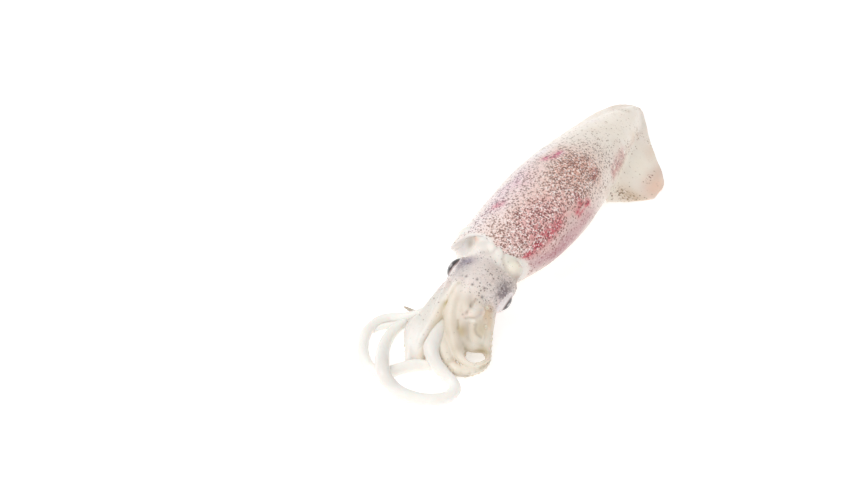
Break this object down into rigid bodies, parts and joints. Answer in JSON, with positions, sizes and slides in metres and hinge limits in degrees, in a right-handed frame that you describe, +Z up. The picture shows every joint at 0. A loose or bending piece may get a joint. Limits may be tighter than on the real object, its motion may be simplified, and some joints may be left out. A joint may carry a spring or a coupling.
{
  "type": "whole raw squid",
  "caption": "Whole raw squid lying limp: a tapering mantle tube with a fin each side, a head with an eye each side, curled arms and long looping tentacles.",
  "frame": {"origin": "centre of the flat of the belly under the middle of the mantle, on the surface the squid lies on", "axes": "+Y along the mantle towards the tail, +Z up from the surface, +X towards the side the squid is rolled to"},
  "size_m": [0.0763, 0.2366, 0.0351],
  "materials": {
    "mantle_skin": "wet speckled skin",
    "head_flesh": "wet pale flesh",
    "eye_dark": "wet and glossy"
  },
  "bodies": {
    "root": {"mantle": "mantle_skin", "head": "head_flesh", "eye_left": "eye_dark", "eye_right": "eye_dark"}
  },
  "joints": []
}
